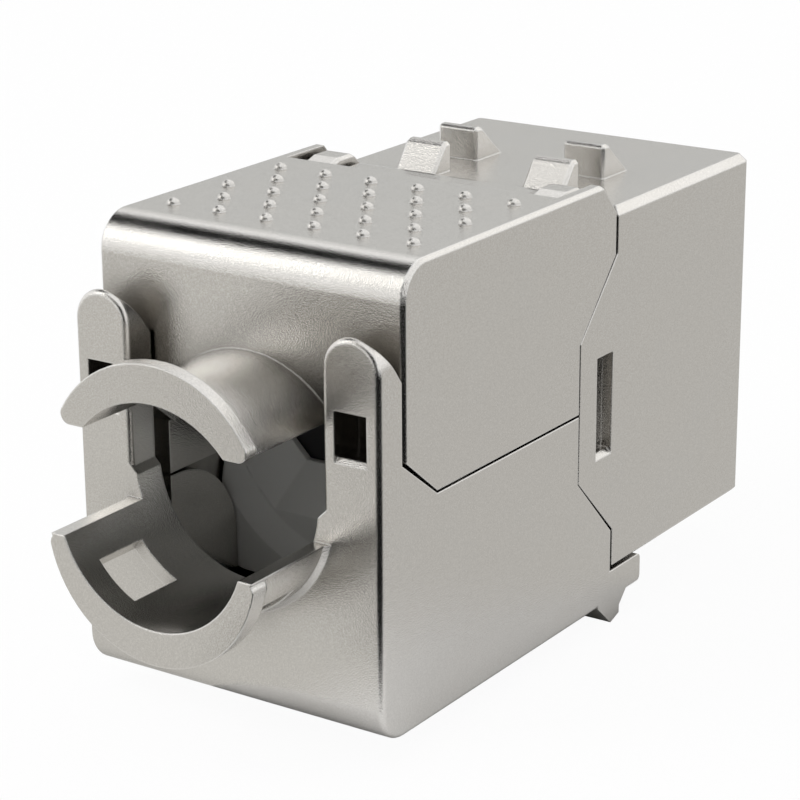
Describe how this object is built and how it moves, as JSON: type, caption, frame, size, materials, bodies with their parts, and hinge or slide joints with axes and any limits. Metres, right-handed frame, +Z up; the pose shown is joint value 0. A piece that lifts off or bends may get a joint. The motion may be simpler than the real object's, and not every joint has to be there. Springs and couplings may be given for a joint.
{
  "type": "keystone jack",
  "caption": "Shielded tool-free keystone jack in nickel-plated die-cast zinc, with two hinged rear flaps that close round the cable and a plug port in front.",
  "frame": {"origin": "middle of the width, on the rear face of the panel it snaps into, at half the housing's height", "axes": "+Y towards the plug side, +Z up towards the lugs, X across the width"},
  "size_m": [0.0144, 0.0341, 0.02],
  "materials": {
    "zinc": "satin nickel-plated zinc casting",
    "grey_plastic": "moulded, matt grey",
    "black_plastic": "moulded, matt black",
    "board": "green solder mask",
    "tin": "tinned bronze",
    "gold": "gold-plated bronze",
    "spring_steel": "bright sheet"
  },
  "bodies": {
    "housing": {"front_housing": "zinc", "wire_manager": "grey_plastic", "idc_block": "black_plastic", "contact_carrier": "black_plastic", "circuit_board": "board", "idc_contact_1": "tin", "idc_contact_2": "tin", "idc_contact_3": "tin", "idc_contact_4": "tin", "idc_contact_5": "tin", "idc_contact_6": "tin", "idc_contact_7": "tin", "idc_contact_8": "tin", "port_contact_1": "gold", "port_contact_2": "gold", "port_contact_3": "gold", "port_contact_4": "gold", "port_contact_5": "gold", "port_contact_6": "gold", "port_contact_7": "gold", "port_contact_8": "gold", "shield_spring_left": "spring_steel", "shield_spring_right": "spring_steel"},
    "lower_flap": {"lower_flap": "zinc"},
    "upper_flap": {"upper_flap": "zinc"}
  },
  "joints": [
    {"name": "lower_flap_hinge", "type": "hinge", "parent": "housing", "child": "lower_flap", "pos_m": [0, 0.0002, -0.0088], "axis": [1, 0, 0], "range_deg": [0, 90]},
    {"name": "upper_flap_hinge", "type": "hinge", "parent": "housing", "child": "upper_flap", "pos_m": [0, -0.0036, 0.0074], "axis": [-1, 0, 0], "range_deg": [0, 70]}
  ],
  "couplings": [
    {"joint": "upper_flap_hinge", "follows": "lower_flap_hinge", "ratio": 0.7777}
  ]
}
